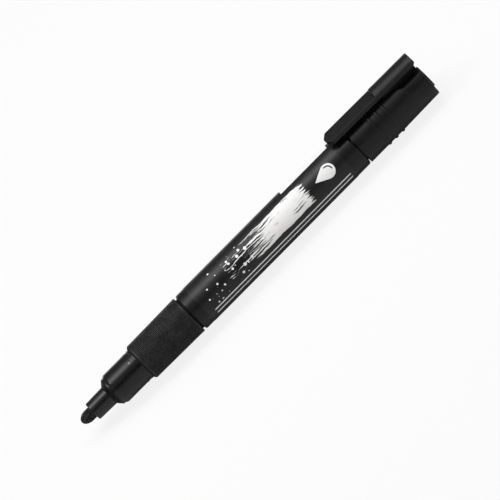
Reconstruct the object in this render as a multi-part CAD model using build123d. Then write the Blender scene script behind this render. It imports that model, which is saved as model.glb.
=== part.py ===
from build123d import *
import os
from math import cos, dist, pi, sin, sqrt

# Valve-action paint marker with its cap posted on the tail. Lengths are in millimetres.
# Every piece is drawn about the X axis, with the nib's tip at x = 0 and the cap at large x.
# The finished pieces are moved so that the marker lies centred on the ground with its clip up.

# Clearances shared by several pieces
fit_gap = 0.05
slide_gap = 0.08
touch_gap = 0.02
overrun = 1.0

# Nib: felt rod with a bullet end
nib_diameter = 4.0
nib_bullet_length = 3.0
nib_exposed_length = 4.5
nib_length = 33.0
nib_tail_chamfer = 0.3
nib_travel = 1.5

# Nib holder: tapered collar outside, barbed spigot inside, air grooves along the bore
nib_gap = 0.06
collar_wall = 1.09
collar_draft = 0.15
collar_length = 6.95
collar_edge_radius = 0.3
spigot_wall = 0.85
spigot_length = 6.4
barb_height = 0.16
barb_length = 1.0
air_groove_radius = 0.35
air_groove_count = 4

# Valve, from the inside outwards: stem, seat, spring, cage and body
stem_pin_diameter = 1.6
stem_tail_diameter = 1.5
stem_tail_overhang = 0.9
stem_flow_gap = 0.45
poppet_diameter = 4.8
poppet_thickness = 1.5
poppet_bevel = 0.4
seat_thickness = 1.2
septum_thickness = 1.5
nib_tail_engagement = 1.0
nib_tail_play = 0.3
nib_tail_room = 0.5
spring_length = 9.6
spring_wire_diameter = 0.45
spring_stem_gap = 0.6
spring_end_gap = 0.08
spring_turns = 7
cage_poppet_gap = 0.4
cage_wall = 0.8
cage_end_thickness = 1.0
cage_window_width = 1.8
cage_window_length = 3.2
cage_window_count = 4
valve_wall = 0.95
valve_body_depth = 6.6

# Front section: nose, grip seat, neck and plug
front_wall = 0.96
nose_wall = 1.3
nose_length = 13.45
cone_length = 1.45
land_length = 0.5
shoulder_length = 0.95
shoulder_height = 0.53
shoulder_radius = 0.6
holder_seat_length = 5.0
snap_ridge_width = 1.0
snap_ridge_height = 0.15
snap_ridge_setback = 2.3
grip_seat_step = 0.12
grip_seat_lead = 0.7
groove_width = 0.65
neck_wall = 1.2
plug_wall = 1.5
plug_length = 9.0
plug_chamfer = 0.5

# Grip sleeve
grip_length = 20.55
grip_front_wall = 0.82
grip_rear_wall = 1.07
grip_front_chamfer = 0.6
grip_edge_radius = 0.2

# Seal ring round the plug
seal_section_diameter = 0.95
seal_groove_play = 0.12
seal_setback = 3.0

# Barrel: drawn can with a rolled mouth and a closed tail
barrel_length = 69.85
barrel_wall = 0.5
barrel_edge_radius = 0.55
barrel_shoulder_radius = 0.7
tail_length = 13.0
tail_edge_radius = 1.0

# Printed film round the barrel
label_thickness = 0.06
label_front_margin = 3.5
label_rear_margin = 5.45

# Mixing ball
ball_diameter = 6.0

# Cap shell
cap_gap = 0.3
cap_length = 28.9
cap_wall = 1.15
cap_mouth_lead = 0.3
cap_mouth_radius = 0.2
cap_rear_draft = 0.28
cap_end_wall = 1.6
rim_radius = 0.3
boss_diameter = 7.8
boss_height = 0.65
boss_edge_radius = 0.15
rib_width = 1.25
rib_height = 0.36
rib_setback = 7.85
rib_pitch = 2.75
rib_count = 3
flat_length = 6.2
flat_ramp_length = 4.4
flat_depth = 1.23

# Pocket clip, moulded with the cap shell
clip_width = 5.25
clip_tip_gap = 1.88
clip_root_gap = 1.68
clip_thickness = 1.55
clip_fall = 0.38
clip_overhang = 5.8
clip_front_length = 19.65
clip_tip_width = 1.4
clip_tip_taper = 1.6
clip_tip_radius = 0.9
clip_edge_radius = 0.25
clip_step = 0.15
clip_crown_height = 0.85
clip_crown_depth = 0.5
clip_crown_radius = 0.6
clip_end_overhang = 0.75
clip_end_chamfer = 0.8
clip_bead_radius = 0.9
clip_bead_height = 0.55
clip_bead_setback = 3.0
clip_bead_width = 3.0
web_thickness = 2.4
web_length = 13.2

# Inner cap: liner that seals on the collar when the cap is on the nose
posted_gap = 0.3
liner_play = 0.4
liner_wall = 0.9
liner_end_wall = 0.8
liner_flange_thickness = 1.0
liner_mouth_chamfer = 0.5
liner_lip_setback = 2.4
liner_lip_width = 1.0
liner_lip_height = 0.48

# Radii, worked out from the nib and the poppet outwards
nib_r = nib_diameter / 2
nib_bore_r = nib_r + nib_gap
collar_front_r = nib_bore_r + collar_wall
collar_rear_r = collar_front_r + collar_draft
spigot_r = nib_bore_r + spigot_wall
holder_seat_r = spigot_r + fit_gap
stem_hole_r = stem_pin_diameter / 2 + stem_flow_gap
poppet_r = poppet_diameter / 2
spring_r = stem_tail_diameter / 2 + spring_stem_gap + spring_wire_diameter / 2
cage_bore_r = poppet_r + cage_poppet_gap
cage_r = cage_bore_r + cage_wall
valve_r = cage_r + fit_gap + valve_wall
valve_bore_r = valve_r + fit_gap
grip_seat_r = valve_bore_r + front_wall
nose_r = grip_seat_r - grip_seat_step
chamber_r = nose_r - nose_wall
land_r = nose_r - shoulder_height
grip_bore_r = grip_seat_r + fit_gap
grip_front_r = grip_bore_r + grip_front_wall
grip_rear_r = grip_bore_r + grip_rear_wall
neck_r = valve_bore_r + neck_wall
plug_r = valve_bore_r + plug_wall
barrel_bore_r = plug_r + fit_gap
barrel_r = barrel_bore_r + barrel_wall
tail_r = nose_r
cap_bore_r = nose_r + slide_gap
cap_r = cap_bore_r + cap_wall
rim_r = cap_r - cap_rear_draft
rib_r = cap_r + rib_height
liner_bore_r = collar_rear_r + liner_play
liner_r = liner_bore_r + liner_wall
liner_pocket_r = liner_r + fit_gap
seal_outer_r = barrel_bore_r - touch_gap
seal_inner_r = seal_outer_r - seal_section_diameter

# Stations along the axis, from the nib's tip
x_nose = nib_exposed_length + collar_length
x_holder_seat_end = x_nose + holder_seat_length
x_grip = x_nose + nose_length
x_groove = x_grip + grip_length
x_barrel = x_groove + groove_width
x_plug = x_barrel + barrel_wall
x_plug_end = x_plug + plug_length
x_seal = x_plug + seal_setback
x_shoulder = x_barrel + barrel_length
x_tail_end = x_shoulder + tail_length
x_valve = nib_length - nib_tail_engagement
x_septum = nib_length + nib_travel + nib_tail_room
x_seat = x_septum + septum_thickness
x_poppet = x_seat + seat_thickness + touch_gap
x_spring = x_poppet + poppet_thickness
x_cage_end = x_spring + spring_length
x_cage_rear = x_cage_end + cage_end_thickness
x_mouth = x_shoulder + cap_gap
x_ribs_end = x_mouth + rib_setback + (rib_count - 1) * rib_pitch + rib_width / 2
x_rim = x_mouth + cap_length
x_boss = x_rim + boss_height
x_liner = x_tail_end + posted_gap
x_liner_seat = x_liner + liner_flange_thickness
x_pocket_end = x_rim - cap_end_wall
x_clip_tip = x_mouth - clip_overhang
x_clip_crown = x_clip_tip + clip_front_length
x_clip_end = x_rim + clip_end_overhang

# Heights of the clip above the axis
clip_tip_under = cap_r + clip_tip_gap
clip_root_under = cap_r + clip_root_gap
clip_tip_top = clip_tip_under + clip_thickness
clip_slope = clip_fall / (x_clip_end - x_clip_tip)
clip_crown_edge = clip_tip_top + clip_step - clip_slope * clip_front_length


# Solid turned about the X axis. A corner is (x, r), or (x, r, radius) where it is rounded.
def turned(*corners):
    profile = make_face(Polyline(*[corner[:2] for corner in corners], close=True))
    for corner in corners:
        if len(corner) > 2:
            vertex = profile.vertices().sort_by_distance(corner[:2])[0]
            profile = fillet(vertex, corner[2])
    return revolve(Plane.XZ * profile, axis=Axis.X)


# Round-topped ring that stands on a turned surface of radius r, sunk into it by its own height
def ring_bead(x, r, width, height):
    crest = ThreePointArc((x - width / 2, r), (x, r + height), (x + width / 2, r))
    base = Polyline(crest @ 1, (x + width / 2, r - height), (x - width / 2, r - height), crest @ 0)
    return revolve(Plane.XZ * make_face([crest, base]), axis=Axis.X)


# Solid extruded evenly to both sides of the XZ plane
def slab(profile, width):
    return extrude(Plane.XZ * profile, amount=width / 2, both=True)


# Copies of a tool turned in equal steps about the X axis
def around(tool, count):
    return [Rot(X=360 * step / count) * tool for step in range(count)]


def rod_along_x(x_from, x_to, radius):
    return Pos((x_from + x_to) / 2, 0, 0) * Cylinder(radius, x_to - x_from, rotation=(0, 90, 0))


def nib():
    bullet = EllipticalCenterArc(
        (nib_bullet_length, 0), nib_bullet_length, nib_r, start_angle=90, arc_size=90
    )
    body = Polyline(
        (0, 0),
        (nib_length, 0),
        (nib_length, nib_r - nib_tail_chamfer),
        (nib_length - nib_tail_chamfer, nib_r),
        (nib_bullet_length, nib_r),
    )
    return revolve(Plane.XZ * make_face([bullet, body]), axis=Axis.X)


def nib_holder():
    x_front = nib_exposed_length
    x_end = x_nose + spigot_length
    x_barb = x_holder_seat_end + touch_gap
    holder = turned(
        (x_front, nib_bore_r),
        (x_front, collar_front_r, collar_edge_radius),
        (x_nose, collar_rear_r),
        (x_nose, spigot_r),
        (x_barb, spigot_r),
        (x_barb, spigot_r + barb_height),
        (x_barb + barb_length, spigot_r),
        (x_end, spigot_r),
        (x_end, nib_bore_r),
    )
    groove = Pos(0, 0, nib_bore_r) * rod_along_x(x_front - overrun, x_end + overrun, air_groove_radius)
    return holder - around(groove, air_groove_count)


def front_section():
    x_land = x_nose + cone_length
    x_shoulder_front = x_land + land_length
    x_lead = x_grip - grip_seat_lead
    groove_r = seal_inner_r - touch_gap
    groove_half = seal_section_diameter / 2 + seal_groove_play
    body = turned(
        (x_nose, holder_seat_r),
        (x_nose, collar_rear_r),
        (x_land, land_r),
        (x_shoulder_front, land_r),
        (x_shoulder_front + shoulder_length, nose_r, shoulder_radius),
        (x_lead, nose_r),
        (x_lead + grip_seat_step, grip_seat_r),
        (x_groove, grip_seat_r),
        (x_groove, neck_r),
        (x_plug, neck_r),
        (x_plug, plug_r),
        (x_seal - groove_half, plug_r),
        (x_seal - groove_half, groove_r),
        (x_seal + groove_half, groove_r),
        (x_seal + groove_half, plug_r),
        (x_plug_end - plug_chamfer, plug_r),
        (x_plug_end, plug_r - plug_chamfer),
        (x_plug_end, valve_bore_r),
        (x_valve, valve_bore_r),
        (x_valve, chamber_r),
        (x_holder_seat_end, chamber_r),
        (x_holder_seat_end, holder_seat_r),
    )
    ridge = ring_bead(x_grip - snap_ridge_setback, nose_r, snap_ridge_width, snap_ridge_height)
    return body + ridge


def grip_sleeve():
    return turned(
        (x_grip, grip_bore_r),
        (x_grip, grip_front_r - grip_front_chamfer),
        (x_grip + grip_front_chamfer, grip_front_r, grip_edge_radius),
        (x_groove, grip_rear_r, grip_edge_radius),
        (x_groove, grip_bore_r),
    )


def barrel():
    tail_bore_r = tail_r - barrel_wall
    x_step = x_shoulder - barrel_wall
    can = turned(
        (x_barrel, 0),
        (x_barrel, barrel_r, barrel_edge_radius),
        (x_shoulder, barrel_r, barrel_shoulder_radius),
        (x_shoulder, tail_r),
        (x_tail_end, tail_r, tail_edge_radius),
        (x_tail_end, 0),
    )
    hollow = turned(
        (x_barrel - overrun, 0),
        (x_barrel - overrun, neck_r + fit_gap),
        (x_plug, neck_r + fit_gap),
        (x_plug, barrel_bore_r),
        (x_step, barrel_bore_r, barrel_shoulder_radius - barrel_wall),
        (x_step, tail_bore_r),
        (x_tail_end - barrel_wall, tail_bore_r, tail_edge_radius - barrel_wall),
        (x_tail_end - barrel_wall, 0),
    )
    return can - hollow


def barrel_label():
    x_front = x_barrel + label_front_margin
    x_rear = x_shoulder - label_rear_margin
    inner_r = barrel_r + touch_gap
    outer_r = inner_r + label_thickness
    return turned((x_front, inner_r), (x_front, outer_r), (x_rear, outer_r), (x_rear, inner_r))


def barrel_seal():
    ring_r = (seal_outer_r + seal_inner_r) / 2
    return Pos(x_seal, 0, 0) * Torus(ring_r, seal_section_diameter / 2, rotation=(0, 90, 0))


def valve_body():
    x_rear = x_seat + valve_body_depth
    socket_r = cage_r + fit_gap
    guide_r = nib_r + nib_tail_play
    return turned(
        (x_valve, guide_r),
        (x_valve, valve_r),
        (x_rear, valve_r),
        (x_rear, socket_r),
        (x_seat, socket_r),
        (x_seat, stem_hole_r),
        (x_septum, stem_hole_r),
        (x_septum, guide_r),
    )


def valve_seat():
    x_rear = x_seat + seat_thickness
    return turned((x_seat, stem_hole_r), (x_seat, cage_r), (x_rear, cage_r), (x_rear, stem_hole_r))


def valve_stem():
    pin_r = stem_pin_diameter / 2
    guide_pin_r = stem_tail_diameter / 2
    x_pin = nib_length + touch_gap
    x_tail = x_cage_rear + stem_tail_overhang
    return turned(
        (x_pin, 0),
        (x_pin, pin_r),
        (x_poppet, pin_r),
        (x_poppet, poppet_r),
        (x_spring - poppet_bevel, poppet_r),
        (x_spring, poppet_r - poppet_bevel),
        (x_spring, guide_pin_r),
        (x_tail, guide_pin_r),
        (x_tail, 0),
    )


def spring_cage():
    x_front = x_seat + seat_thickness
    guide_r = stem_tail_diameter / 2 + slide_gap
    cup = turned(
        (x_front, cage_bore_r),
        (x_front, cage_r),
        (x_cage_rear, cage_r),
        (x_cage_rear, guide_r),
        (x_cage_end, guide_r),
        (x_cage_end, cage_bore_r),
    )
    x_window = x_cage_end - cage_window_length / 2
    depth = cage_r - cage_bore_r + overrun
    window = Box(cage_window_length, cage_window_width, depth)
    window = Pos(x_window, 0, (cage_bore_r + cage_r) / 2) * window
    return cup - around(window, cage_window_count)


# Point and direction of the spring's centre line after a number of turns
def spring_point(turns):
    x_first = x_spring + spring_end_gap + spring_wire_diameter / 2
    x_last = x_cage_end - spring_end_gap - spring_wire_diameter / 2
    angle = 2 * pi * turns
    x = x_first + (x_last - x_first) * turns / spring_turns
    return Vector(x, spring_r * cos(angle), spring_r * sin(angle))


def spring_direction(turns):
    pitch = (spring_point(spring_turns).X - spring_point(0).X) / spring_turns
    angle = 2 * pi * turns
    return Vector(pitch / (2 * pi), -spring_r * sin(angle), spring_r * cos(angle)).normalized()


# Two tangent arcs that join two points with the given directions
def biarc(start, start_way, end, end_way):
    chord = end - start
    bend = 2 * (1 - start_way.dot(end_way))
    along = chord.dot(start_way + end_way)
    reach = (sqrt(along * along + bend * chord.dot(chord)) - along) / bend
    near = start + start_way * reach
    far = end - end_way * reach
    middle = (near + far) / 2
    first = TangentArc(start, middle, tangent=start_way)
    return [first, TangentArc(middle, end, tangent=far - near)]


def valve_spring():
    stops = [half / 2 for half in range(2 * spring_turns + 1)]
    arcs = []
    for before, after in zip(stops, stops[1:]):
        arcs += biarc(
            spring_point(before), spring_direction(before), spring_point(after), spring_direction(after)
        )
    wire_section = Plane(spring_point(0), z_dir=spring_direction(0)) * Circle(spring_wire_diameter / 2)
    return sweep(wire_section, path=Wire(arcs))


# Least free space between neighbouring turns, measured on points of the centre line
def spring_least_gap():
    steps_per_turn = 24
    points = [
        tuple(spring_point(step / steps_per_turn)) for step in range(spring_turns * steps_per_turn + 1)
    ]
    gaps = []
    for index, point in enumerate(points):
        for other in points[index + steps_per_turn // 2:]:
            gaps.append(dist(point, other) - spring_wire_diameter)
    return min(gaps)


def mixing_ball():
    ball_r = ball_diameter / 2
    drop = barrel_bore_r - ball_r - touch_gap
    return Pos((x_plug_end + x_shoulder) / 2, 0, -drop) * Sphere(ball_r)


# Tool that clears the flat under the clip's root: a level cut with a smooth run-in
def flat_cutter():
    top = cap_r + overrun
    x_flat = x_rim - flat_length
    x_ramp = x_flat - flat_ramp_length
    level = cap_r - flat_depth
    middle = ((x_ramp + x_flat) / 2, (cap_r + level) / 2)
    drop = TangentArc((x_ramp, cap_r), middle, tangent=(1, 0))
    landing = TangentArc(middle, (x_flat, level), tangent=drop % 1)
    rest = Polyline(
        landing @ 1, (x_boss + overrun, level), (x_boss + overrun, top), (x_ramp, top), drop @ 0
    )
    return slab(make_face([drop, landing, rest]), 2 * cap_r)


# Outline of the clip from above, narrowed at the tip
def clip_outline():
    half = clip_width / 2
    tip_half = clip_tip_width / 2
    x_full = x_clip_tip + clip_tip_taper
    outline = make_face(
        Polyline(
            (x_clip_tip, tip_half),
            (x_full, half),
            (x_clip_end, half),
            (x_clip_end, -half),
            (x_full, -half),
            (x_clip_tip, -tip_half),
            close=True,
        )
    )
    return fillet(outline.vertices().sort_by(Axis.X)[:4], clip_tip_radius)


# Blade whose top falls gently towards the cap's end, with the lower corner there cut away
def clip_blade():
    side = make_face(
        Polyline(
            (x_clip_tip, clip_tip_under),
            (x_clip_end - clip_end_chamfer, clip_root_under),
            (x_clip_end, clip_root_under + clip_end_chamfer),
            (x_clip_end, clip_tip_top - clip_fall),
            (x_clip_tip, clip_tip_top),
            close=True,
        )
    )
    blade = slab(side, clip_width) & extrude(clip_outline(), amount=clip_tip_top)
    return fillet(blade.faces().sort_by(Axis.Z)[-1].edges(), clip_edge_radius)


# Rounded back along the rear half of the clip, a little proud of the front half
def clip_crown():
    half = clip_width / 2
    crest = ThreePointArc(
        (-half, clip_crown_edge), (0, clip_crown_edge + clip_crown_height), (half, clip_crown_edge)
    )
    bottom = clip_crown_edge - clip_crown_depth
    base = Polyline(crest @ 1, (half, bottom), (-half, bottom), crest @ 0)
    along = Vector(1, 0, -clip_slope)
    length = (x_clip_end - x_clip_crown) * along.length
    crown = extrude(Plane.YZ * make_face([crest, base]), amount=length, dir=along)
    front_edges = crown.faces().sort_by(Axis.X)[0].edges()
    crown = fillet(front_edges.sort_by(Axis.Z)[-1], clip_crown_radius)
    return Pos(x_clip_crown, 0, 0) * crown


def clip():
    x_bead = x_clip_tip + clip_bead_setback
    bead_z = clip_tip_under + clip_bead_radius - clip_bead_height
    bead = Pos(x_bead, 0, bead_z) * Cylinder(clip_bead_radius, clip_bead_width, rotation=(90, 0, 0))
    above = Pos(x_bead, 0, clip_tip_top) * Box(clip_width, clip_width, clip_thickness)
    return clip_blade() + clip_crown() + (bead - above)


def web():
    web_top = clip_root_under + clip_crown_depth
    side = make_face(
        Polyline(
            (x_rim - web_length, rim_r - flat_depth),
            (x_rim, rim_r - flat_depth),
            (x_rim, web_top),
            (x_rim - web_length, web_top),
            close=True,
        )
    )
    return slab(side, web_thickness)


def cap_shell():
    body = turned(
        (x_mouth, 0),
        (x_mouth, cap_r, cap_mouth_radius),
        (x_ribs_end, cap_r),
        (x_rim, rim_r, rim_radius),
        (x_rim, boss_diameter / 2),
        (x_boss, boss_diameter / 2, boss_edge_radius),
        (x_boss, 0),
    )
    x_first_rib = x_mouth + rib_setback
    for index in range(rib_count):
        body += ring_bead(x_first_rib + index * rib_pitch, cap_r, rib_width, rib_height)
    body -= flat_cutter()
    body += web()
    body += clip()
    hollow = turned(
        (x_mouth - overrun, 0),
        (x_mouth - overrun, cap_bore_r + cap_mouth_lead),
        (x_mouth, cap_bore_r + cap_mouth_lead),
        (x_mouth + cap_mouth_lead, cap_bore_r),
        (x_liner_seat, cap_bore_r),
        (x_liner_seat, liner_pocket_r),
        (x_pocket_end, liner_pocket_r),
        (x_pocket_end, 0),
    )
    snap_groove = ring_bead(x_mouth + snap_ridge_setback, cap_bore_r, snap_ridge_width, snap_ridge_height)
    return body - hollow - snap_groove


def inner_cap():
    x_floor = x_pocket_end - liner_end_wall
    x_lip = x_liner + liner_lip_setback
    flange_r = cap_bore_r - fit_gap
    body = turned(
        (x_liner, 0),
        (x_liner, flange_r),
        (x_liner_seat, flange_r),
        (x_liner_seat, liner_r),
        (x_pocket_end, liner_r),
        (x_pocket_end, 0),
    )
    hollow = turned(
        (x_liner - overrun, 0),
        (x_liner - overrun, liner_bore_r + liner_mouth_chamfer),
        (x_liner, liner_bore_r + liner_mouth_chamfer),
        (x_liner + liner_mouth_chamfer, liner_bore_r),
        (x_lip, liner_bore_r),
        (x_lip + liner_lip_width / 2, liner_bore_r - liner_lip_height),
        (x_lip + liner_lip_width, liner_bore_r),
        (x_floor, liner_bore_r),
        (x_floor, 0),
    )
    return body - hollow


pieces = {
    "nib": nib(),
    "nib_holder": nib_holder(),
    "front_section": front_section(),
    "grip_sleeve": grip_sleeve(),
    "barrel": barrel(),
    "barrel_label": barrel_label(),
    "barrel_seal": barrel_seal(),
    "valve_body": valve_body(),
    "valve_seat": valve_seat(),
    "valve_stem": valve_stem(),
    "valve_spring": valve_spring(),
    "spring_cage": spring_cage(),
    "mixing_ball": mixing_ball(),
    "cap_shell": cap_shell(),
    "inner_cap": inner_cap(),
}

print("least gap between the spring's turns:", round(spring_least_gap(), 3), "mm")

# The marker lies on the cap's ribs, centred over its length
os.makedirs("parts", exist_ok=True)
to_ground = Pos(-max(x_clip_end, x_boss) / 2, 0, rib_r)
for name, piece in pieces.items():
    placed = to_ground * piece
    placed.label = name
    export_step(placed, f"parts/{name}.step")
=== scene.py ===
import math
import bmesh
import bpy
from mathutils import Matrix, Vector, noise


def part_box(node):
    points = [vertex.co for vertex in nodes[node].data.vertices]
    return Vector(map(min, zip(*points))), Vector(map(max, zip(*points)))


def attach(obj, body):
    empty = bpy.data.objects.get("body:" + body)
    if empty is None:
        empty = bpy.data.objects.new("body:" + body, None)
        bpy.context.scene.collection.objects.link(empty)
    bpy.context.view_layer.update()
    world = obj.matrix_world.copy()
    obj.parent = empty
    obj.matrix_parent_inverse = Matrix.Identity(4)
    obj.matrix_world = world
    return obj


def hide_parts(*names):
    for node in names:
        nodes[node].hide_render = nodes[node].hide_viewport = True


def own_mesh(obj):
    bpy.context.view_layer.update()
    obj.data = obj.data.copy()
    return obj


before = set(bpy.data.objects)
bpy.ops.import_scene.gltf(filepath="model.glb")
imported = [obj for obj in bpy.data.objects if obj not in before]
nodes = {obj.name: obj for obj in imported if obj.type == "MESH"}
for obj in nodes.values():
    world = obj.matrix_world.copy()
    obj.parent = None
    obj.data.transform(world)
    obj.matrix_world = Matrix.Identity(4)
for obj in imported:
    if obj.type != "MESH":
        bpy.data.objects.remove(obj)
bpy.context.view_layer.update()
mm = 0.001
fullTurn = 2 * math.pi
axisZ = sum(corner.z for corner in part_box("barrel")) / 2  # height of the marker's long axis
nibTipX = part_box("nib")[0].x
viewTurn = 50.0  # degrees round the marker, from the clip down to the side that the picture shows
print("frame loaded:", len(nodes), "nodes, axis", round(axisZ / mm, 2), "mm above the floor")


# camera, taken from the picture: slope and scale of the barrel, and how far the clip is turned
photoView = {
    "elevation": 90.0 - viewTurn,
    "barrelSlope": 45.25,
    "pixelsPerMm": 3.35,
    "pictureWidth": 500.0,
    "centreFromTip": 71.88 * mm,  # point of the axis nearest to the picture's middle
    "centreAboveAxis": 0.66 * mm,
    "distance": 1.7,
    "sensor": 36.0,
}


def placeCamera(view):
    elevation = math.radians(view["elevation"])
    slope = math.radians(view["barrelSlope"])
    towardsCamera = Vector((0, -math.cos(elevation), math.sin(elevation)))
    acrossBarrel = Vector((0, math.sin(elevation), math.cos(elevation)))
    alongBarrel = Vector((1, 0, 0))
    right = alongBarrel * math.cos(slope) - acrossBarrel * math.sin(slope)
    up = alongBarrel * math.sin(slope) + acrossBarrel * math.cos(slope)
    target = Vector((nibTipX + view["centreFromTip"], 0, axisZ)) + acrossBarrel * view["centreAboveAxis"]
    fieldWidth = view["pictureWidth"] / view["pixelsPerMm"] * mm
    data = bpy.data.cameras.new("photoCamera")
    data.sensor_width = view["sensor"]
    data.lens = view["sensor"] * view["distance"] / fieldWidth
    camera = bpy.data.objects.new("photoCamera", data)
    bpy.context.scene.collection.objects.link(camera)
    turn = Matrix((right, up, towardsCamera)).transposed().to_4x4()
    camera.matrix_world = Matrix.Translation(target + towardsCamera * view["distance"]) @ turn
    bpy.context.scene.camera = camera


# helpers for shader trees: an input may be a plain value or the socket that feeds it
noiseMiddle = 0.5


def feed(tree, socket, value):
    if isinstance(value, bpy.types.NodeSocket):
        tree.links.new(value, socket)
    else:
        socket.default_value = value


def addNode(tree, kind, inputs=None, **settings):
    node = tree.nodes.new(kind)
    for key, value in settings.items():
        setattr(node, key, value)
    for key, value in (inputs or {}).items():
        feed(tree, node.inputs[key], value)
    return node


def calc(tree, operation, *values):
    return addNode(tree, "ShaderNodeMath", dict(enumerate(values)), operation=operation).outputs[0]


def fade(tree, value, start, end, low=0.0, high=1.0):
    limits = {"Value": value, "From Min": start, "From Max": end, "To Min": low, "To Max": high}
    return addNode(tree, "ShaderNodeMapRange", limits, interpolation_type="SMOOTHSTEP").outputs[0]


def band(tree, value, low, high, soft):
    rise = fade(tree, value, low - soft, low + soft)
    fall = fade(tree, value, high + soft, high - soft)
    return calc(tree, "MULTIPLY", rise, fall)


def mixColour(tree, factor, first, second):
    mixer = addNode(tree, "ShaderNodeMix", data_type="RGBA")
    for index, value in ((0, factor), (6, first), (7, second)):  # 6 and 7 are the colour inputs
        feed(tree, mixer.inputs[index], value)
    return mixer.outputs[2]


def joinXYZ(tree, *parts):
    return addNode(tree, "ShaderNodeCombineXYZ", dict(enumerate(parts))).outputs[0]


def splitXYZ(tree, vector):
    return addNode(tree, "ShaderNodeSeparateXYZ", {0: vector}).outputs


def lengthOf(tree, vector):
    return addNode(tree, "ShaderNodeVectorMath", {0: vector}, operation="LENGTH").outputs["Value"]


def stretch(tree, vector, scale):
    return addNode(tree, "ShaderNodeMapping", {"Vector": vector, "Scale": scale}).outputs[0]


def speckle(tree, vector, scale, detail=2.0, roughness=0.5):
    spec = {"Vector": vector, "Scale": scale, "Detail": detail, "Roughness": roughness}
    return addNode(tree, "ShaderNodeTexNoise", spec).outputs[0]


def grey(value, warm=0.0):
    return (value * (1 + warm), value, value * (1 - warm), 1)


# studio: floor, softboxes, and a room that is light above and low in front, with a dark gap at the camera
studio = {
    "floorColour": grey(0.68),
    "floorHalf": 6.0,
    "floorGlow": 0.85,  # share of the floor that the camera sees as plain white
    "mirroredGlow": 0.05,  # the same share in reflections
    "roomLevels": (  # degrees from overhead towards the picture's side, and how light the room is there
        (-90, 0.1), (-65, 0.2), (-45, 0.45), (20, 0.5), (38, 0.32),
        (44, 0.03), (55, 0.03), (63, 0.4), (75, 0.75), (90, 0.85),
    ),
    "softboxes": {  # place, size and radiance of each
        "wideBox": ((0, 0.09, 0.5), (0.55, 0.4), 1.5),
        "coreBox": ((0, 0.065, 0.48), (0.55, 0.18), 2.6),
        "nibEndBox": ((-0.27, 0.06, 0.46), (0.1, 0.12), 16.0),
        "capEndBox": ((0.3, 0.06, 0.46), (0.1, 0.12), 9.0),
    },
}


def buildFloor(spec):
    bm = bmesh.new()
    bmesh.ops.create_grid(bm, x_segments=1, y_segments=1, size=spec["floorHalf"])
    mesh = bpy.data.meshes.new("floor")
    bm.to_mesh(mesh)
    bm.free()
    floor = bpy.data.objects.new("floor", mesh)
    bpy.context.scene.collection.objects.link(floor)
    material = bpy.data.materials.new("paleFloor")
    material.use_nodes = True
    tree = material.node_tree
    tree.nodes.clear()
    paper = addNode(tree, "ShaderNodeBsdfDiffuse", {"Color": spec["floorColour"]})
    glow = addNode(tree, "ShaderNodeEmission", {"Color": grey(1.0), "Strength": 1.0})
    path = addNode(tree, "ShaderNodeLightPath").outputs
    mirrored = calc(tree, "MAXIMUM", path["Is Glossy Ray"], path["Is Transmission Ray"])
    mirrored = calc(tree, "MULTIPLY", mirrored, spec["mirroredGlow"])
    share = calc(tree, "MULTIPLY_ADD", path["Is Camera Ray"], spec["floorGlow"], mirrored)
    mixed = addNode(tree, "ShaderNodeMixShader", {0: share, 1: paper.outputs[0], 2: glow.outputs[0]})
    addNode(tree, "ShaderNodeOutputMaterial", {"Surface": mixed.outputs[0]})
    mesh.materials.append(material)


def buildLights(spec):
    for name, (place, size, radiance) in spec["softboxes"].items():
        data = bpy.data.lights.new(name, "AREA")
        data.shape = "RECTANGLE"
        data.size, data.size_y = size
        data.energy = radiance * math.pi * size[0] * size[1]
        box = bpy.data.objects.new(name, data)
        box.location = place
        box.rotation_euler = Vector(place).to_track_quat("Z", "Y").to_euler()  # faces the marker
        bpy.context.scene.collection.objects.link(box)


def buildRoom(spec):
    world = bpy.data.worlds.new("studioRoom")
    bpy.context.scene.world = world
    world.use_nodes = True
    tree = world.node_tree
    way = splitXYZ(tree, addNode(tree, "ShaderNodeTexCoord").outputs["Generated"])
    turn = calc(tree, "ARCTAN2", calc(tree, "MULTIPLY", way["Y"], -1.0), way["Z"])
    share = calc(tree, "MULTIPLY_ADD", turn, 1 / fullTurn, 0.5)  # overhead is the middle of the ramp
    levels = addNode(tree, "ShaderNodeValToRGB", {"Fac": share})
    ramp = levels.color_ramp.elements
    ramp[0].color = grey(spec["roomLevels"][0][1])
    ramp[1].color = grey(spec["roomLevels"][-1][1])
    for degrees, level in spec["roomLevels"]:
        ramp.new(degrees / 360 + 0.5).color = grey(level)
    tree.links.new(levels.outputs["Color"], tree.nodes["Background"].inputs["Color"])


bpy.context.scene.view_settings.view_transform = "Standard"
placeCamera(photoView)
buildFloor(studio)
buildLights(studio)
buildRoom(studio)
print("camera, floor and lights placed")


# shader groups that several finishes share
def newGroup(name, inputs, outputs):
    tree = bpy.data.node_groups.new(name, "ShaderNodeTree")
    for label, kind in inputs.items():
        tree.interface.new_socket(label, in_out="INPUT", socket_type="NodeSocket" + kind)
    for label in outputs:
        tree.interface.new_socket(label, in_out="OUTPUT", socket_type="NodeSocketFloat")
    return tree, addNode(tree, "NodeGroupInput").outputs, addNode(tree, "NodeGroupOutput").inputs


def buildAxisGroup():
    # distance along the marker, turn round it in radians, and distance from its axis
    tree, given, out = newGroup("markerCoordinates", {"Vector": "Vector"}, ("Along", "Turn", "Radius"))
    part = splitXYZ(tree, given["Vector"])
    sideways = calc(tree, "MULTIPLY", part["Y"], -1.0)
    feed(tree, out["Along"], part["X"])
    feed(tree, out["Turn"], calc(tree, "ARCTAN2", sideways, part["Z"]))
    feed(tree, out["Radius"], lengthOf(tree, joinXYZ(tree, 0.0, part["Y"], part["Z"])))
    return tree


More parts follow.
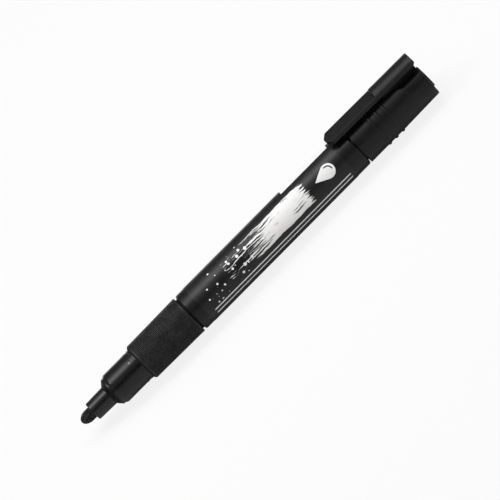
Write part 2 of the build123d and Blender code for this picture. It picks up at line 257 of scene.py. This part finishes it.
# grain: fine noise with eroded pits in the surface of a moulding, and broad clouding of its colour
grainGroup = {
    "fineNoise": (3.0, 0.6),  # octaves and roughness
    "pits": (0.1, 0.6),  # distance from a pit's middle to its floor's edge and to its rim
    "pitShare": 0.5,
    "cloudScale": 0.35,
    "clouds": (0.3, 0.7),
}


def buildGrainGroup(spec):
    inputs = {"Vector": "Vector", "Fineness": "Float"}
    tree, given, out = newGroup("mouldedGrain", inputs, ("Height", "Cloud"))
    vector, fineness = given["Vector"], given["Fineness"]
    fine = speckle(tree, vector, fineness, *spec["fineNoise"])
    cells = addNode(tree, "ShaderNodeTexVoronoi", {"Vector": vector, "Scale": fineness}).outputs
    pits = fade(tree, cells["Distance"], *spec["pits"])
    feed(tree, out["Height"], calc(tree, "MULTIPLY_ADD", pits, spec["pitShare"], fine))
    feed(tree, out["Cloud"], fade(tree, speckle(tree, vector, spec["cloudScale"]), *spec["clouds"]))
    return tree


# marks of handling: smudges from fingers, and short scratches along the marker that lie in patches
marksGroup = {
    "smudgeNoise": (0.22, 3.0, 0.55),  # scale, octaves and roughness
    "smudges": (0.42, 0.68),
    "scratchStretch": (0.12, 5.0, 5.0),
    "scratchNoise": (1.0, 1.0),
    "scratches": (0.7, 0.76),
    "patchNoise": (0.3, 1.0),
    "patches": (0.5, 0.62),
}


def buildMarksGroup(spec):
    tree, given, out = newGroup("handlingMarks", {"Vector": "Vector"}, ("Smudge", "Scratch"))
    vector = given["Vector"]
    smudges = speckle(tree, vector, *spec["smudgeNoise"])
    feed(tree, out["Smudge"], fade(tree, smudges, *spec["smudges"]))
    lines = speckle(tree, stretch(tree, vector, spec["scratchStretch"]), *spec["scratchNoise"])
    scratches = fade(tree, lines, *spec["scratches"])
    patches = fade(tree, speckle(tree, vector, *spec["patchNoise"]), *spec["patches"])
    feed(tree, out["Scratch"], calc(tree, "MULTIPLY", scratches, patches))
    return tree


groups = {
    "axis": buildAxisGroup(),
    "grain": buildGrainGroup(grainGroup),
    "marks": buildMarksGroup(marksGroup),
}


def useGroup(tree, name, inputs):
    return addNode(tree, "ShaderNodeGroup", inputs, node_tree=groups[name]).outputs


def axisVector(tree, turned=0.0):
    # object coordinates in millimetres from the nib's tip, turned about the axis where asked
    turn = Matrix.Rotation(math.radians(turned), 3, "X")
    centre = turn @ Vector((nibTipX, 0, axisZ)) / mm
    spec = {
        "Vector": addNode(tree, "ShaderNodeTexCoord").outputs["Object"],
        "Location": -centre,
        "Rotation": (math.radians(turned), 0, 0),
        "Scale": (1 / mm, 1 / mm, 1 / mm),
    }
    return addNode(tree, "ShaderNodeMapping", spec).outputs[0]


def startFinish(name, shine, metallic=0.0):
    material = bpy.data.materials.new(name)
    material.use_nodes = True
    tree = material.node_tree
    sockets = tree.nodes["Principled BSDF"].inputs
    sockets["Specular IOR Level"].default_value = shine
    sockets["Metallic"].default_value = metallic
    return material, tree, sockets


edgeSamples = 8


def addBump(tree, sockets, height, strength, depth, edgeRadius=0.0):
    spec = {"Height": height, "Strength": strength, "Distance": depth * mm}
    if edgeRadius:
        softened = addNode(tree, "ShaderNodeBevel", {"Radius": edgeRadius * mm}, samples=edgeSamples)
        spec["Normal"] = softened.outputs[0]
    feed(tree, sockets["Normal"], addNode(tree, "ShaderNodeBump", spec).outputs[0])


# mouldings: greys, shine, range of roughness, fineness and strength of the grain, radius of soft edges
mouldings = {
    "nosePlastic": {
        "greys": (0.004, 0.006), "shine": 0.3, "rough": (0.19, 0.26), "grain": (5.0, 0.04), "edge": 0.0,
    },
    "holderPlastic": {
        "greys": (0.004, 0.006), "shine": 0.38, "rough": (0.18, 0.24), "grain": (5.0, 0.04), "edge": 0.0,
    },
    "conePlastic": {
        "greys": (0.004, 0.006), "shine": 0.1, "rough": (0.5, 0.6), "grain": (9.0, 0.2), "edge": 0.0,
    },
    "capPlastic": {
        "greys": (0.005, 0.007), "shine": 0.22, "rough": (0.33, 0.42), "grain": (7.0, 0.1), "edge": 0.3,
    },
    "valvePlastic": {
        "greys": (0.66, 0.74), "shine": 0.4, "rough": (0.38, 0.5), "grain": (6.0, 0.1), "edge": 0.15,
    },
    "linerPlastic": {
        "greys": (0.6, 0.68), "shine": 0.4, "rough": (0.35, 0.46), "grain": (6.0, 0.1), "edge": 0.15,
    },
    "sealRubber": {
        "greys": (0.018, 0.03), "shine": 0.25, "rough": (0.65, 0.8), "grain": (10.0, 0.3), "edge": 0.1,
    },
}
mouldedWear = {
    "warmth": 0.02,  # of the lighter clouds
    "grainDepth": 0.02,
    "scratchShare": 0.35,
    "scratchLighter": 2.5,
    "scratchLightest": 0.8,
    "scratchRough": 0.15,
}


def mouldedFinish(name, spec, wear):
    material, tree, sockets = startFinish(name, spec["shine"])
    vector = axisVector(tree)
    fineness, strength = spec["grain"]
    grain = useGroup(tree, "grain", {"Vector": vector, "Fineness": fineness})
    marks = useGroup(tree, "marks", {"Vector": vector})
    dark, light = spec["greys"]
    colour = mixColour(tree, grain["Cloud"], grey(dark), grey(light, wear["warmth"]))
    scratched = calc(tree, "MULTIPLY", marks["Scratch"], wear["scratchShare"])
    bared = grey(min(light * wear["scratchLighter"], wear["scratchLightest"]))
    feed(tree, sockets["Base Color"], mixColour(tree, scratched, colour, bared))
    smooth, rough = spec["rough"]
    spread = calc(tree, "MULTIPLY_ADD", marks["Smudge"], rough - smooth, smooth)
    spread = calc(tree, "MULTIPLY_ADD", marks["Scratch"], wear["scratchRough"], spread)
    feed(tree, sockets["Roughness"], spread)
    addBump(tree, sockets, grain["Height"], strength, wear["grainDepth"], spec["edge"])
    return material


finishes = {name: mouldedFinish(name, spec, mouldedWear) for name, spec in mouldings.items()}


# steels: drawn wire and a tumbled ball
steels = {
    "springSteel": {"grey": 0.5, "rough": (0.22, 0.38), "drawn": (1.0, 9.0, 9.0)},
    "ballSteel": {"grey": 0.58, "rough": (0.1, 0.22), "drawn": (3.0, 3.0, 3.0)},
}
steelLines = {
    "shine": 0.5,
    "noise": (1.5, 3.0),
    "shades": (0.8, 1.1),
    "lines": (0.3, 0.7),
    "bump": (0.1, 0.01),  # strength and depth
}


def steelFinish(name, spec, drawing):
    material, tree, sockets = startFinish(name, drawing["shine"], metallic=1.0)
    lines = speckle(tree, stretch(tree, axisVector(tree), spec["drawn"]), *drawing["noise"])
    dark, light = (grey(spec["grey"] * shade) for shade in drawing["shades"])
    feed(tree, sockets["Base Color"], mixColour(tree, lines, dark, light))
    feed(tree, sockets["Roughness"], fade(tree, lines, *drawing["lines"], *spec["rough"]))
    addBump(tree, sockets, lines, *drawing["bump"])
    return material


finishes.update({name: steelFinish(name, spec, steelLines) for name, spec in steels.items()})
print("finishes made:", len(finishes))


# turned pieces: a wire through corners, spun about the axis. A corner has its distance from the nib's tip,
# its radius and its rounding, in millimetres.
turning = {
    "roundingSegments": 6,
    "mergeDistance": 0.0005 * mm,
    "onAxis": 0.001 * mm,
    "hiddenShare": 0.12,  # length in the map of a surface that is never seen
    "mapMargin": 0.01,
    "sharpAngle": math.radians(32),
}


def layWire(bm, corners, closed=False, start=None):
    wire = [bm.verts.new((x * mm, 0, r * mm)) for x, r, rounding in corners]
    chain = ([start] if start else []) + wire
    ends = chain[1:] + chain[:1] if closed else chain[1:]
    for pair in zip(chain, ends):
        bm.edges.new(pair)
    for vert, (x, r, rounding) in zip(wire, corners):
        if rounding:
            bmesh.ops.bevel(bm, geom=[vert], offset=rounding * mm, offset_type="OFFSET", affect="VERTICES",
                            segments=turning["roundingSegments"], profile=0.5, material=-1)


def measureWire(bm, seen, first):
    # length along the outline at each vertex, in which surfaces that are never seen count for little
    layer = bm.verts.layers.float["outline"]
    firstPlace = Vector((first[0] * mm, 0, first[1] * mm))
    start = min(bm.verts, key=lambda vert: (vert.co - firstPlace).length)
    vert = start
    edge = max(start.link_edges, key=lambda side: side.other_vert(start).co.z)
    total = 0.0
    while True:
        ahead = edge.other_vert(vert)
        middle = (vert.co + ahead.co) / (2 * mm)
        total += edge.calc_length() * (1.0 if seen(middle.x, middle.z) else turning["hiddenShare"])
        if ahead == start:
            return total
        ahead[layer] = total
        onward = [other for other in ahead.link_edges if other != edge]
        if not onward:
            return total
        vert, edge = ahead, onward[0]


def turnAt(place, nearTurn):
    # angle round the axis, from the wire's first column, on the same lap as nearTurn
    if math.hypot(place.y, place.z) < turning["onAxis"]:
        return nearTurn
    turn = math.atan2(-place.y, place.z)
    return turn + fullTurn * round((nearTurn - turn) / fullTurn)


def spinWire(bm, steps, total):
    bmesh.ops.spin(bm, geom=bm.verts[:] + bm.edges[:], cent=(0, 0, 0), axis=(1, 0, 0), angle=fullTurn,
                   steps=steps, use_merge=True, use_duplicate=False)
    bmesh.ops.remove_doubles(bm, verts=bm.verts, dist=turning["mergeDistance"])
    bmesh.ops.recalc_face_normals(bm, faces=bm.faces)
    # map with the outline one way and the turn the other, cut along the first column
    layer = bm.verts.layers.float["outline"]
    bakeMap = bm.loops.layers.uv.new("OFBake")
    margin = turning["mapMargin"]
    room = 1 - 2 * margin
    for face in bm.faces:
        faceTurn = turnAt(face.calc_center_median(), math.pi)
        lengths = [loop.vert[layer] for loop in face.loops]
        overJoin = max(lengths) - min(lengths) > total / 2
        for loop, length in zip(face.loops, lengths):
            length += total if overJoin and length < total / 2 else 0
            turn = turnAt(loop.vert.co, faceTurn)
            loop[bakeMap].uv = (margin + room * length / total, 1 - margin - room * turn / fullTurn)


def startTurned():
    bm = bmesh.new()
    bm.verts.layers.float.new("outline")
    return bm


def addPiece(bm, name, node, body, materials):
    bmesh.ops.translate(bm, verts=bm.verts, vec=(nibTipX, 0, axisZ))
    for face in bm.faces:
        face.smooth = True
    for edge in bm.edges:
        edge.smooth = edge.calc_face_angle(0) < turning["sharpAngle"]
    mesh = bpy.data.meshes.new(name)
    bm.to_mesh(mesh)
    bm.free()
    for material in materials:
        mesh.materials.append(material)
    piece = bpy.data.objects.new(name, mesh)
    bpy.context.scene.collection.objects.link(piece)
    piece.modifiers.new("evenShading", "WEIGHTED_NORMAL").keep_sharp = True
    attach(piece, body)
    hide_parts(node)
    print("piece made:", name, len(mesh.polygons), "faces")
    return piece


def finishTurned(bm, name, node, body, materials):
    # the map's cut goes to the side away from the picture
    turn = Matrix.Rotation(math.radians(180 - viewTurn), 3, "X")
    bmesh.ops.rotate(bm, verts=bm.verts, cent=(0, 0, 0), matrix=turn)
    addPiece(bm, name, node, body, materials)


# nose: cone, shoulder, polished cap seat with its snap ridge, grip seat, neck, plug with its seal groove
noseShape = {
    "corners": (
        (11.45, 2.96, 0), (11.45, 3.30, 0.05), (12.9, 4.96, 0.06), (13.4, 4.96, 0.08), (14.35, 5.49, 0.2),
        (22.35, 5.49, 0.06), (22.9, 5.63, 0.18), (23.15, 5.49, 0.06), (24.2, 5.49, 0), (24.32, 5.61, 0),
        (45.45, 5.61, 0), (45.45, 5.85, 0.05), (46.6, 5.85, 0), (46.6, 6.15, 0.05), (49.005, 6.15, 0),
        (49.005, 5.21, 0), (50.195, 5.21, 0), (50.195, 6.15, 0), (55.1, 6.15, 0), (55.6, 5.65, 0),
        (55.6, 4.65, 0), (32.0, 4.65, 0), (32.0, 4.19, 0), (16.45, 4.19, 0), (16.45, 2.96, 0),
    ),
    "steps": 112,
    "seen": lambda x, r: x < 26.0 and r > 2.97 and not (x > 15.0 and r < 5.0),
    "matte": ((11.0, 12.95), (45.4, 46.55)),  # cone, and neck in the groove ahead of the barrel
}


def buildNose(spec):
    bm = startTurned()
    layWire(bm, spec["corners"], closed=True)
    spinWire(bm, spec["steps"], measureWire(bm, spec["seen"], spec["corners"][0]))
    for face in bm.faces:
        middle = face.calc_center_median().x / mm
        face.material_index = int(any(start < middle < end for start, end in spec["matte"]))
    materials = [finishes["nosePlastic"], finishes["conePlastic"]]
    finishTurned(bm, "noseSection", "front_section", "barrel", materials)


buildNose(noseShape)


# barrel: drawn can with a rolled mouth and a stepped, closed tail, in black lacquer over fine drawing lines
barrelCan = {
    "corners": (
        (128.45, 0, 0), (128.45, 4.99, 0.5), (115.45, 4.99, 0), (115.45, 6.2, 0.2), (46.6, 6.2, 0),
        (46.6, 5.90, 0), (46.1, 5.90, 0), (46.1, 6.7, 0.55), (115.95, 6.7, 0.7), (115.95, 5.49, 0.1),
        (128.95, 5.49, 1.0), (128.95, 0, 0),
    ),
    "steps": 112,
    "seen": lambda x, r: r > 6.3 or x > 115.7 and r > 5.2 or x > 128.7,
    "greys": (0.005, 0.008),
    "wornGrey": 0.025,
    "shine": 0.22,
    "rough": (0.25, 0.34),
    "fineness": 2.5,
    "drawnLines": (9.0, 0.15, 0.15),
    "bump": (0.12, 0.01),
}


def lacquerFinish(spec):
    material, tree, sockets = startFinish("barrelLacquer", spec["shine"])
    vector = axisVector(tree)
    marks = useGroup(tree, "marks", {"Vector": vector})
    grain = useGroup(tree, "grain", {"Vector": vector, "Fineness": spec["fineness"]})
    dark, light = spec["greys"]
    colour = mixColour(tree, grain["Cloud"], grey(dark), grey(light))
    feed(tree, sockets["Base Color"], mixColour(tree, marks["Scratch"], colour, grey(spec["wornGrey"])))
    smooth, rough = spec["rough"]
    feed(tree, sockets["Roughness"], calc(tree, "MULTIPLY_ADD", marks["Smudge"], rough - smooth, smooth))
    lines = speckle(tree, stretch(tree, vector, spec["drawnLines"]), 1.0)
    addBump(tree, sockets, lines, *spec["bump"])
    return material


def buildBarrel(spec):
    bm = startTurned()
    layWire(bm, spec["corners"])
    spinWire(bm, spec["steps"], measureWire(bm, spec["seen"], spec["corners"][0]))
    finishTurned(bm, "barrelCan", "barrel", "barrel", [lacquerFinish(spec)])


buildBarrel(barrelCan)


# grip: sleeve with plain rims and rows of small square studs, whose tops are polished by handling and
# painted lighter, with painted shade between them
gripSleeve = {
    "corners": (
        (24.9, 5.66, 0), (24.9, 5.88, 0.05), (25.5, 6.48, 0.2), (25.95, 6.485, 0), (26.0, 6.355, 0),
        (45.0, 6.59, 0), (45.05, 6.725, 0), (45.45, 6.73, 0.2), (45.45, 5.66, 0),
    ),
    "steps": 76,
    "rows": 43,
    "rowsFrom": 26.0,
    "rowsTo": 45.0,
    "outsideFrom": 6.0,  # radius between the bore and the outside
    "studGap": 0.08,
    "studHeight": 0.105,
    "studCrown": (0.05, 0.03),  # width and rise of the slope round each stud's top
    "seen": lambda x, r: r > 5.7,
    # the darkest grey is painted shade between the studs, the lightest is painted highlight on their tops
    "greys": (0.0003, 0.025),
    "shine": 0.24,
    "rough": (0.85, 0.42),  # between the studs, and on their tops
    "topFrom": (25.5, 6.48),  # where the studs' tops would start, and their radius there
    "topGrowth": 0.0125,
    "topFade": (0.08, 0.02),  # depth below the tops at which the polish and the painted top light have gone, and start to go
    # share of the painted highlight that lightens the stud tops
    "topLightShare": 0.6,
    "cloudShare": 0.4,
    "smudgePolish": -0.08,
    "fineness": 9.0,
    "bump": (0.3, 0.02),
}


def gripFinish(spec):
    material, tree, sockets = startFinish("gripPlastic", spec["shine"])
    vector = axisVector(tree)
    grain = useGroup(tree, "grain", {"Vector": vector, "Fineness": spec["fineness"]})
    marks = useGroup(tree, "marks", {"Vector": vector})
    place = useGroup(tree, "axis", {"Vector": vector})
    front, radius = spec["topFrom"]
    growth = calc(tree, "MULTIPLY", calc(tree, "SUBTRACT", place["Along"], front), spec["topGrowth"])
    below = calc(tree, "SUBTRACT", calc(tree, "ADD", growth, radius), place["Radius"])
    top = fade(tree, below, *spec["topFade"])
    dark, light = spec["greys"]
    # stud tops painted lighter than the gaps between them: painted highlight and shade, besides the real
    # polish in the roughness below
    paintedTopLight = calc(tree, "MULTIPLY", top, spec["topLightShare"])
    shade = calc(tree, "MULTIPLY_ADD", grain["Cloud"], spec["cloudShare"], paintedTopLight)
    feed(tree, sockets["Base Color"], mixColour(tree, shade, grey(dark), grey(light)))
    valley, polished = spec["rough"]
    rough = calc(tree, "MULTIPLY_ADD", top, polished - valley, valley)
    rough = calc(tree, "MULTIPLY_ADD", marks["Smudge"], spec["smudgePolish"], rough)
    feed(tree, sockets["Roughness"], rough)
    addBump(tree, sockets, grain["Height"], *spec["bump"])
    return material


def buildGrip(spec):
    bm = startTurned()
    layWire(bm, spec["corners"], closed=True)
    outside = spec["outsideFrom"] * mm
    studded = max(bm.edges, key=lambda edge: edge.calc_length() if edge.verts[0].co.z > outside else 0)
    bmesh.ops.subdivide_edges(bm, edges=[studded], cuts=spec["rows"] - 1)
    spinWire(bm, spec["steps"], measureWire(bm, spec["seen"], spec["corners"][0]))
    cells = []
    for face in bm.faces:
        middle = face.calc_center_median()
        inRows = spec["rowsFrom"] * mm < middle.x < spec["rowsTo"] * mm
        if inRows and math.hypot(middle.y, middle.z) > outside:
            cells.append(face)
    for inset, rise in ((spec["studGap"], spec["studHeight"]), spec["studCrown"]):
        bmesh.ops.inset_individual(bm, faces=cells, thickness=inset * mm, depth=rise * mm,
                                   use_even_offset=True, use_interpolate=True)
    finishTurned(bm, "gripSleeve", "grip_sleeve", "barrel", [gripFinish(spec)])


buildGrip(gripSleeve)


# nib: felt rod with a bullet end, its fibres drawn along the rod, soaked black, a little worn at the point
nibRod = {
    "bullet": 3.0,
    "bulletSteps": 16,
    "radius": 2.0,
    "rodCorners": ((5.3, 2.0, 0), (32.7, 2.0, 0), (33.0, 1.7, 0), (33.0, 0, 0)),
    "rodCuts": 8,  # in the stretch that shows
    "steps": 64,
    "uneven": (0.01, 5.2),  # stretch with an uneven surface
    "unevenDepth": 0.03,
    "unevenScale": 0.9,
    "seen": lambda x, r: x < 5.0,
    "greys": (0.0005, 0.06),
    "wornGrey": 0.05,
    "shine": 0.16,
    "rough": (0.72, 0.95),
    "fibreStretch": (0.9, 7.0, 7.0),
    "fibreNoise": (1.0, 4.0, 0.65),  # scale, octaves and roughness
    "fibres": (0.3, 0.6),
    "poreNoise": (1.5, 4.0, 0.75),
    "pores": (0.45, 0.6),
    "wornPores": (0.45, 0.65),
    "wornAlong": (1.6, 0.2),  # from the end of the wear to the point
    "bump": (0.8, 0.08),
}


def feltFinish(spec):
    material, tree, sockets = startFinish("nibFelt", spec["shine"])
    vector = axisVector(tree)
    fibres = speckle(tree, stretch(tree, vector, spec["fibreStretch"]), *spec["fibreNoise"])
    pores = speckle(tree, vector, *spec["poreNoise"])
    felt = calc(tree, "MULTIPLY", fade(tree, fibres, *spec["fibres"]), fade(tree, pores, *spec["pores"]))
    dark, light = spec["greys"]
    colour = mixColour(tree, felt, grey(dark), grey(light))
    along = useGroup(tree, "axis", {"Vector": vector})["Along"]
    nearPoint = fade(tree, along, *spec["wornAlong"])
    worn = calc(tree, "MULTIPLY", nearPoint, fade(tree, pores, *spec["wornPores"]))
    feed(tree, sockets["Base Color"], mixColour(tree, worn, colour, grey(spec["wornGrey"])))
    feed(tree, sockets["Roughness"], fade(tree, felt, 0.0, 1.0, *spec["rough"]))
    addBump(tree, sockets, calc(tree, "ADD", fibres, pores), *spec["bump"])
    return material


def buildNib(spec):
    bm = startTurned()
    tip = bm.verts.new((-mm, 0, 0))
    bmesh.ops.spin(bm, geom=[tip], cent=(0, 0, 0), axis=(0, 1, 0), angle=fullTurn / 4,
                   steps=spec["bulletSteps"])
    bmesh.ops.scale(bm, verts=bm.verts, vec=(spec["bullet"], 1, spec["radius"]))
    bmesh.ops.translate(bm, verts=bm.verts, vec=(spec["bullet"] * mm, 0, 0))
    shoulder = max(bm.verts, key=lambda vert: vert.co.x)
    layWire(bm, spec["rodCorners"], start=shoulder)
    shown = [edge for edge in shoulder.link_edges if edge.other_vert(shoulder).co.x > shoulder.co.x]
    bmesh.ops.subdivide_edges(bm, edges=shown, cuts=spec["rodCuts"])
    spinWire(bm, spec["steps"], measureWire(bm, spec["seen"], (0, 0)))
    unevenFrom, unevenTo = spec["uneven"]
    for vert in bm.verts:
        if unevenFrom * mm < vert.co.x < unevenTo * mm:
            pattern = 0.5 + 0.5 * noise.noise(vert.co * spec["unevenScale"] / mm)
            vert.co.yz = vert.co.yz * (1 - pattern * spec["unevenDepth"] / spec["radius"])
    finishTurned(bm, "nibRod", "nib", "nib", [feltFinish(spec)])


buildNib(nibRod)


# film round the barrel, with a print of white paint on black: a dry brush stroke, splashes, a drop,
# a plain panel and two hairlines. The print's places are in millimetres, along from the film's front edge
# and round from the middle of the picture's side. Soft edges are given along and around.
labelFilm = {
    "corners": ((49.6, 6.72, 0), (49.6, 6.78, 0), (110.5, 6.78, 0), (110.5, 6.72, 0)),
    "steps": 128,
    "seen": lambda x, r: r > 6.77,
    "start": 49.6,
    "radius": 6.78,
    "greys": (0.006, 0.009),
    "white": 0.8,
    "whiteWarmth": 0.01,
    "shine": 0.3,
    "rough": (0.3, 0.4),
    "inkRough": 0.12,
    "fineness": 6.0,
    "grainShare": 0.1,
    "bump": (0.25, 0.01),
    "seamWidth": 0.15,
    "seamGrey": 0.05,
    "seamShare": 0.5,
    "stroke": {
        "along": (14.0, 46.0),
        "around": (-4.6, 3.0),
        "soft": (0.15, 0.12),
        "waveNoise": (0.16, 3.0),
        "wave": 1.4,
        "hairStretch": 0.05,
        "hairSlice": 3.7,
        "hairNoise": (2.6, 3.0, 0.55),
        "hairSoft": 0.03,
        "wetToDry": (38.0, 15.0),
        "dryness": (0.34, 0.62),
        "ragged": 9.0,
    },
    "splash": {
        "along": (3.0, 22.0),
        "around": (-5.2, 4.2),
        "soft": (0.1, 0.1),
        "scale": 0.6,
        "chance": (0.4, 1.0),
        "size": (0.0, 0.34),
        "growth": (0.5, 1.0),
        "dotSoft": 0.02,
    },
    "drop": {
        "centre": (55.2, -0.8),
        "radius": 2.4,
        "tip": 5.2,
        "soft": 0.05,
        "gleam": (0.55, 0.72),  # shares of the radius
        "gleamSide": (-0.9, -1.4),
    },
    "panel": {"along": (40.6, 60.0), "around": (-19.0, -7.1), "soft": (0.05, 0.05)},
    "hairlines": {"along": (2.4, 59.6), "around": (5.0, 6.6), "half": 0.2, "soft": (0.1, 0.05)},
}


def patchMask(tree, along, around, spec):
    endSoft, sideSoft = spec["soft"]
    ends = band(tree, along, *spec["along"], endSoft)
    sides = band(tree, around, *spec["around"], sideSoft)
    return calc(tree, "MULTIPLY", ends, sides)


def strokeMask(tree, along, around, spec):
    place = joinXYZ(tree, along, around, 0.0)
    wave = calc(tree, "SUBTRACT", speckle(tree, place, *spec["waveNoise"]), noiseMiddle)
    bent = calc(tree, "MULTIPLY_ADD", wave, spec["wave"], around)
    hairs = joinXYZ(tree, calc(tree, "MULTIPLY", along, spec["hairStretch"]), bent, spec["hairSlice"])
    bristles = speckle(tree, hairs, *spec["hairNoise"])
    dryness = fade(tree, along, *spec["wetToDry"], *spec["dryness"])
    ink = fade(tree, calc(tree, "SUBTRACT", bristles, dryness), -spec["hairSoft"], spec["hairSoft"])
    ragged = calc(tree, "SUBTRACT", bristles, noiseMiddle)
    ragged = calc(tree, "MULTIPLY_ADD", ragged, spec["ragged"], along)
    return calc(tree, "MULTIPLY", ink, patchMask(tree, ragged, bent, spec))


def splashMask(tree, along, around, spec):
    scatter = {"Vector": joinXYZ(tree, along, around, 0.0), "Scale": spec["scale"]}
    cells = addNode(tree, "ShaderNodeTexVoronoi", scatter, voronoi_dimensions="2D").outputs
    chance = splitXYZ(tree, cells["Color"])["X"]
    size = fade(tree, chance, *spec["chance"], *spec["size"])
    size = calc(tree, "MULTIPLY", size, fade(tree, along, *spec["along"], *spec["growth"]))
    dots = fade(tree, calc(tree, "SUBTRACT", cells["Distance"], size), spec["dotSoft"], -spec["dotSoft"])
    return calc(tree, "MULTIPLY", dots, patchMask(tree, along, around, spec))


def dropMask(tree, along, around, spec):
    # a disc with two straight flanks that meet in a tip on the grip's side, and a gleam left black
    radius, tip, soft = spec["radius"], spec["tip"], spec["soft"]
    ahead = calc(tree, "SUBTRACT", spec["centre"][0], along)
    aside = calc(tree, "SUBTRACT", around, spec["centre"][1])
    reach = lengthOf(tree, joinXYZ(tree, ahead, aside, 0.0))
    disc = fade(tree, reach, radius + soft, radius - soft)
    slope = radius / math.sqrt(tip * tip - radius * radius)
    room = calc(tree, "MULTIPLY", calc(tree, "SUBTRACT", tip, ahead), slope)
    flanks = fade(tree, calc(tree, "SUBTRACT", room, calc(tree, "ABSOLUTE", aside)), -soft, soft)
    touch = radius * radius / tip  # where the flanks leave the disc
    flanks = calc(tree, "MULTIPLY", flanks, fade(tree, ahead, touch - soft, touch + soft))
    inner, outer = spec["gleam"]
    gleam = band(tree, reach, radius * inner, radius * outer, soft)
    gleam = calc(tree, "MULTIPLY", gleam, fade(tree, calc(tree, "ADD", ahead, aside), *spec["gleamSide"]))
    return calc(tree, "SUBTRACT", calc(tree, "MAXIMUM", disc, flanks), gleam)


def hairlineMask(tree, along, around, spec):
    half = spec["half"]
    endSoft, sideSoft = spec["soft"]
    first, second = (band(tree, around, line - half, line + half, sideSoft) for line in spec["around"])
    ends = band(tree, along, *spec["along"], endSoft)
    return calc(tree, "MULTIPLY", calc(tree, "MAXIMUM", first, second), ends)


def filmFinish(spec):
    material, tree, sockets = startFinish("labelFilm", spec["shine"])
    vector = axisVector(tree)
    grain = useGroup(tree, "grain", {"Vector": vector, "Fineness": spec["fineness"]})
    marks = useGroup(tree, "marks", {"Vector": vector})
    place = useGroup(tree, "axis", {"Vector": axisVector(tree, -viewTurn)})
    along = calc(tree, "SUBTRACT", place["Along"], spec["start"])
    around = calc(tree, "MULTIPLY", place["Turn"], spec["radius"])
    masks = {
        "stroke": strokeMask,
        "splash": splashMask,
        "drop": dropMask,
        "panel": patchMask,
        "hairlines": hairlineMask,
    }
    ink = 0.0
    for name, mask in masks.items():
        ink = calc(tree, "MAXIMUM", ink, mask(tree, along, around, spec[name]))
    dark, light = spec["greys"]
    film = mixColour(tree, grain["Cloud"], grey(dark), grey(light))
    back = math.pi * spec["radius"]
    fromFront = calc(tree, "ABSOLUTE", around)
    seam = fade(tree, fromFront, back - spec["seamWidth"], back, 0.0, spec["seamShare"])
    film = mixColour(tree, seam, film, grey(spec["seamGrey"]))
    white = grey(spec["white"], spec["whiteWarmth"])
    feed(tree, sockets["Base Color"], mixColour(tree, ink, film, white))
    smooth, rough = spec["rough"]
    gloss = calc(tree, "MULTIPLY_ADD", marks["Smudge"], rough - smooth, smooth)
    feed(tree, sockets["Roughness"], calc(tree, "MULTIPLY_ADD", ink, spec["inkRough"], gloss))
    height = calc(tree, "MULTIPLY_ADD", grain["Height"], spec["grainShare"], ink)
    addBump(tree, sockets, height, *spec["bump"])
    return material


def buildFilm(spec):
    bm = startTurned()
    layWire(bm, spec["corners"], closed=True)
    spinWire(bm, spec["steps"], measureWire(bm, spec["seen"], spec["corners"][0]))
    finishTurned(bm, "labelFilm", "barrel_label", "barrel", [filmFinish(spec)])


buildFilm(labelFilm)


# valve spring: wire wound in an even helix
valveSpring = {
    "wire": 0.45,
    "turns": 7,
    "stepsPerTurn": 32,
    "sides": 12,
    "lift": 1.5,
}


def buildSpring(spec):
    low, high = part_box("valve_spring")
    wire = spec["wire"] * mm
    radius = (high.y - low.y - wire) / 2
    rise = high.x - low.x - wire
    steps = spec["turns"] * spec["stepsPerTurn"]
    lean = math.atan2(rise / spec["turns"], fullTurn * radius)
    start = Matrix.Translation((low.x + wire / 2 - nibTipX, radius, 0)) @ Matrix.Rotation(lean, 4, "Y")
    bm = bmesh.new()
    bmesh.ops.create_circle(bm, cap_ends=False, segments=spec["sides"], radius=wire / 2, matrix=start)
    bmesh.ops.spin(bm, geom=bm.verts[:] + bm.edges[:], cent=(0, 0, 0), axis=(1, 0, 0),
                   dvec=(rise / steps, 0, 0), angle=fullTurn * spec["turns"], steps=steps,
                   use_merge=False, use_duplicate=False)
    bmesh.ops.holes_fill(bm, edges=bm.edges, sides=0)
    bmesh.ops.recalc_face_normals(bm, faces=bm.faces)
    materials = [finishes["springSteel"]]
    spring = addPiece(bm, "valveSpring", "valve_spring", "barrel", materials)
    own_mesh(spring)


buildSpring(valveSpring)


# solids that stay as the CAD has them, with their finishes
nodeFinishes = {
    "nib_holder": "holderPlastic",
    "cap_shell": "capPlastic",
    "inner_cap": "linerPlastic",
    "barrel_seal": "sealRubber",
    "valve_seat": "sealRubber",
    "valve_body": "valvePlastic",
    "valve_stem": "valvePlastic",
    "spring_cage": "valvePlastic",
    "mixing_ball": "ballSteel",
}
for nodeName, finishName in nodeFinishes.items():
    nodes[nodeName].data.materials.clear()
    nodes[nodeName].data.materials.append(finishes[finishName])
print("solids finished:", len(nodeFinishes))
